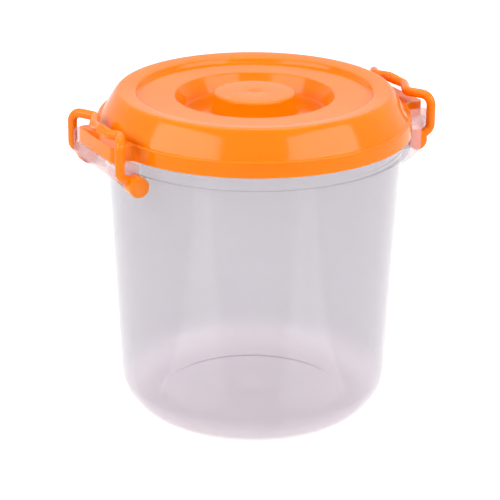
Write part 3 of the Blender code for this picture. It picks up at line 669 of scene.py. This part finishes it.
def ranged(tree, value, low, high, start=0.35, end=0.65):
    """Spreads a value between two limits. Start and end suit a noise texture where none are given."""
    node = add_node(tree, "ShaderNodeMapRange",
                    {"From Min": start, "From Max": end, "To Min": low, "To Max": high})
    tree.links.new(value, node.inputs["Value"])
    return node.outputs["Result"]


def mixed(tree, factor, first, second):
    """A colour between two colours, each a fixed value or the output of a node."""
    node = add_node(tree, "ShaderNodeMix", data_type="RGBA")
    tree.links.new(factor, node.inputs["Factor"])
    for key, colour in (("A", first), ("B", second)):
        if isinstance(colour, tuple):
            node.inputs[key].default_value = colour
        else:
            tree.links.new(colour, node.inputs[key])
    return node.outputs["Result"]


def bumped(tree, height, strength, distance, normal=None):
    """A bump from a height value."""
    node = add_node(tree, "ShaderNodeBump", {"Strength": strength, "Distance": distance})
    tree.links.new(height, node.inputs["Height"])
    if normal is not None:
        tree.links.new(normal, node.inputs["Normal"])
    return node.outputs["Normal"]


def calculated(tree, operation, first, second):
    """The result of adding, multiplying or comparing two values. The second may be a fixed number."""
    node = add_node(tree, "ShaderNodeMath", operation=operation)
    tree.links.new(first, node.inputs[0])
    if isinstance(second, float):
        node.inputs[1].default_value = second
    else:
        tree.links.new(second, node.inputs[1])
    return node.outputs["Value"]


def background_rays(tree):
    """One for the rays that show the white background: the camera's, mirrored ones and transmitted ones."""
    path = add_node(tree, "ShaderNodeLightPath")
    seen = calculated(tree, "MAXIMUM", path.outputs["Is Camera Ray"], path.outputs["Is Transmission Ray"])
    return calculated(tree, "MAXIMUM", seen, path.outputs["Is Glossy Ray"])


def new_material(name):
    """A new material with its node tree and its main shader."""
    material = bpy.data.materials.new(name)
    material.use_nodes = True
    tree = material.node_tree
    return material, tree, tree.nodes["Principled BSDF"]


def orange_plastic():
    """Glossy moulded orange plastic, slightly translucent, with fine handling marks."""
    material, tree, shader = new_material("orange_polypropylene")
    shader.inputs["IOR"].default_value = PLASTIC_IOR
    shader.inputs["Specular IOR Level"].default_value = PLASTIC_SPECULAR_LEVEL
    shader.inputs["Subsurface Weight"].default_value = ORANGE_SCATTER_WEIGHT
    shader.inputs["Subsurface Radius"].default_value = ORANGE_SCATTER_RADIUS
    shader.inputs["Subsurface Scale"].default_value = ORANGE_SCATTER_SCALE
    cloud = ranged(tree, noise(tree, scale=14.0, detail=2.0), 0.0, 1.0)
    tree.links.new(mixed(tree, cloud, *ORANGE_TINTS), shader.inputs["Base Color"])
    smudge = ranged(tree, noise(tree, scale=45.0, detail=4.0, roughness=0.6), *ORANGE_ROUGHNESS)
    tree.links.new(smudge, shader.inputs["Roughness"])
    ripple_height = noise(tree, scale=38.0, detail=1.0, roughness=0.3)
    ripple = bumped(tree, ripple_height, strength=0.12, distance=0.0006)
    scuff_height = noise(tree, scale=900.0, detail=3.0, roughness=0.6, stretch=(1, 0.15, 1))
    scuffs = bumped(tree, scuff_height, strength=0.06, distance=0.00008, normal=ripple)
    tree.links.new(scuffs, shader.inputs["Normal"])
    return material


def clear_plastic():
    """Milky clear moulded plastic with a clear coat, faint flow marks and warmer brackets."""
    material, tree, shader = new_material("clear_polypropylene")
    shader.inputs["IOR"].default_value = PLASTIC_IOR
    shader.inputs["Specular IOR Level"].default_value = PLASTIC_SPECULAR_LEVEL
    shader.inputs["Coat Weight"].default_value = COAT_WEIGHT
    shader.inputs["Coat IOR"].default_value = COAT_IOR
    shader.inputs["Coat Roughness"].default_value = COAT_ROUGHNESS
    flow = ranged(tree, noise(tree, scale=10.0, detail=2.0, stretch=(1, 1, 0.12)), 0.0, 1.0)
    place = add_node(tree, "ShaderNodeTexCoord")
    axes = add_node(tree, "ShaderNodeSeparateXYZ")
    tree.links.new(place.outputs["Object"], axes.inputs["Vector"])
    foot = ranged(tree, axes.outputs["Z"], 1.0, 0.0, FOOT_ZONE_SHARE * FOOT_CORNER_HEIGHT, FOOT_CORNER_HEIGHT)
    flat = add_node(tree, "ShaderNodeVectorMath", {1: (1, 1, 0)}, operation="MULTIPLY")
    tree.links.new(place.outputs["Object"], flat.inputs[0])
    reach = add_node(tree, "ShaderNodeVectorMath", operation="LENGTH")
    tree.links.new(flat.outputs["Vector"], reach.inputs[0])
    outside = ranged(tree, reach.outputs["Value"], 0.0, 1.0, BAND_RADIUS, BAND_RADIUS + WALL)
    colour = mixed(tree, flow, *THIN_WALL_TINTS)
    for zone, tints in ((foot, FOOT_TINTS), (outside, BRACKET_TINTS)):
        colour = mixed(tree, zone, colour, mixed(tree, flow, *tints))
    tree.links.new(colour, shader.inputs["Base Color"])
    foot_veil = ranged(tree, foot, WALL_VEIL, FOOT_VEIL, 0.0, 1.0)
    bracket_veil = ranged(tree, outside, 0.0, BRACKET_VEIL_ADDED, 0.0, 1.0)
    tree.links.new(calculated(tree, "ADD", foot_veil, bracket_veil), shader.inputs["Alpha"])
    smudge = ranged(tree, noise(tree, scale=40.0, detail=4.0, roughness=0.6), *CLEAR_ROUGHNESS)
    tree.links.new(smudge, shader.inputs["Roughness"])
    ripple_height = noise(tree, scale=26.0, detail=1.0, roughness=0.3, stretch=(1, 1, 0.3))
    ripple = bumped(tree, ripple_height, strength=0.10, distance=0.0006)
    tree.links.new(ripple, shader.inputs["Normal"])
    return material


def dress(item, material, body, node):
    """Finishes a piece: smooth faces, its material, and its place on a body of the frame."""
    item.data.materials.clear()
    item.data.materials.append(material)
    item.data.shade_smooth()
    item.data.set_sharp_from_angle(angle=SHARP_ANGLE)
    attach(item, body)
    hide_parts(node)


def make_floor():
    """A plain floor, lifted to white for the rays that show the background."""
    bpy.ops.mesh.primitive_plane_add(size=FLOOR_SIZE, location=(0, 0, -FLOOR_DROP))
    floor = bpy.context.object
    floor.name = "floor"
    material, tree, shader = new_material("floor_white")
    shader.inputs["Base Color"].default_value = FLOOR_COLOUR
    shader.inputs["Roughness"].default_value = FLOOR_ROUGHNESS
    shader.inputs["Specular IOR Level"].default_value = FLOOR_SPECULAR_LEVEL
    shader.inputs["Emission Color"].default_value = WHITE
    lift = calculated(tree, "MULTIPLY", background_rays(tree), FLOOR_LIFT)
    tree.links.new(lift, shader.inputs["Emission Strength"])
    floor.data.materials.append(material)


def make_world():
    """White where it is seen. Its light on the object is brightest low behind it and dim elsewhere."""
    world = bpy.data.worlds.new("studio")
    world.use_nodes = True
    bpy.context.scene.world = world
    tree = world.node_tree
    background = tree.nodes["Background"]
    background.inputs["Color"].default_value = WHITE
    place = add_node(tree, "ShaderNodeTexCoord")
    away = add_node(tree, "ShaderNodeVectorMath", operation="DOT_PRODUCT")
    turn = math.radians(-CAMERA_AZIMUTH)
    away.inputs[1].default_value = (math.sin(turn), math.cos(turn), -WORLD_DOWNWARD_PULL)
    tree.links.new(place.outputs["Generated"], away.inputs[0])
    around = add_node(tree, "ShaderNodeMapRange", {"From Min": WORLD_FADE[0], "From Max": WORLD_FADE[1],
                                                   "To Min": WORLD_LIGHT[0], "To Max": WORLD_LIGHT[1]},
                      interpolation_type="SMOOTHSTEP")
    tree.links.new(away.outputs["Value"], around.inputs["Value"])
    level = calculated(tree, "MAXIMUM", background_rays(tree), around.outputs["Result"])
    tree.links.new(level, background.inputs["Strength"])


def from_camera_side(azimuth):
    """Direction on the ground from the object, with the azimuth positive to the camera's right."""
    turn = math.radians(azimuth + CAMERA_AZIMUTH)
    return Vector((math.sin(turn), -math.cos(turn), 0))


def area_lamp(name, width, height, power):
    """A rectangular lamp that the camera does not see."""
    lamp = bpy.data.lights.new(name, "AREA")
    lamp.shape = "RECTANGLE"
    lamp.size = width
    lamp.size_y = height
    lamp.energy = power
    item = add_object(name, lamp)
    item.visible_camera = False
    return item


def softbox(name, azimuth, elevation, distance, width, height, power):
    """A soft lamp aimed at the object."""
    item = area_lamp(name, width, height, power)
    rise = math.radians(elevation)
    back = from_camera_side(azimuth) * math.cos(rise) + Vector((0, 0, math.sin(rise)))
    item.location = Vector(AIM) + back * distance
    item.rotation_mode = "QUATERNION"
    item.rotation_quaternion = back.to_track_quat("Z", "Y")


def table_glow(name, azimuth):
    """A weak lamp on the floor, where a glossy table would mirror a softbox."""
    item = area_lamp(name, TABLE_GLOW_WIDTH, TABLE_GLOW_LENGTH, TABLE_GLOW_POWER)
    item.location = from_camera_side(azimuth) * TABLE_GLOW_REACH + Vector((0, 0, TABLE_GLOW_HEIGHT))
    item.rotation_euler = (math.pi, 0, math.radians(azimuth + CAMERA_AZIMUTH))


def make_lights():
    """Two wide softboxes left and right of the camera, a third above, and two low glows as off a table."""
    for row in SOFTBOXES:
        softbox(*row)
    for row in TABLE_GLOWS:
        table_glow(*row)


def make_camera():
    """The camera that the photograph was fitted with."""
    elevation, pitch, yaw, roll, azimuth = (math.radians(angle) for angle in (
        CAMERA_ELEVATION, CAMERA_PITCH, CAMERA_YAW, CAMERA_ROLL, CAMERA_AZIMUTH))
    place = Vector((0, -math.cos(elevation), math.sin(elevation))) * CAMERA_DISTANCE
    ahead = Vector((math.sin(yaw) * math.cos(pitch), math.cos(yaw) * math.cos(pitch), -math.sin(pitch)))
    side = ahead.cross(Vector((0, 0, 1))).normalized()
    up = side.cross(ahead)
    tilted_side = side * math.cos(roll) + up * math.sin(roll)
    tilted_up = up * math.cos(roll) - side * math.sin(roll)
    axes = Matrix((tilted_side, tilted_up, -ahead)).transposed().to_4x4()
    data = bpy.data.cameras.new("camera")
    data.sensor_width = SENSOR_WIDTH
    data.lens = FOCAL_SHARE * SENSOR_WIDTH
    camera = add_object("camera", data)
    camera.matrix_world = Matrix.Rotation(azimuth, 4, "Z") @ Matrix.Translation(place) @ axes
    bpy.context.scene.camera = camera


orange = orange_plastic()
clear = clear_plastic()
right_handle = make_handle()
left_handle = half_turned(right_handle, "left_handle")
dress(make_bucket(), clear, "bucket", "bucket")
dress(make_lid(), orange, "lid", "lid")
dress(right_handle, orange, "handle_right", "handle_right")
dress(left_handle, orange, "handle_left", "handle_left")
make_floor()
make_world()
make_lights()
make_camera()
bpy.context.scene.view_settings.view_transform = "Standard"
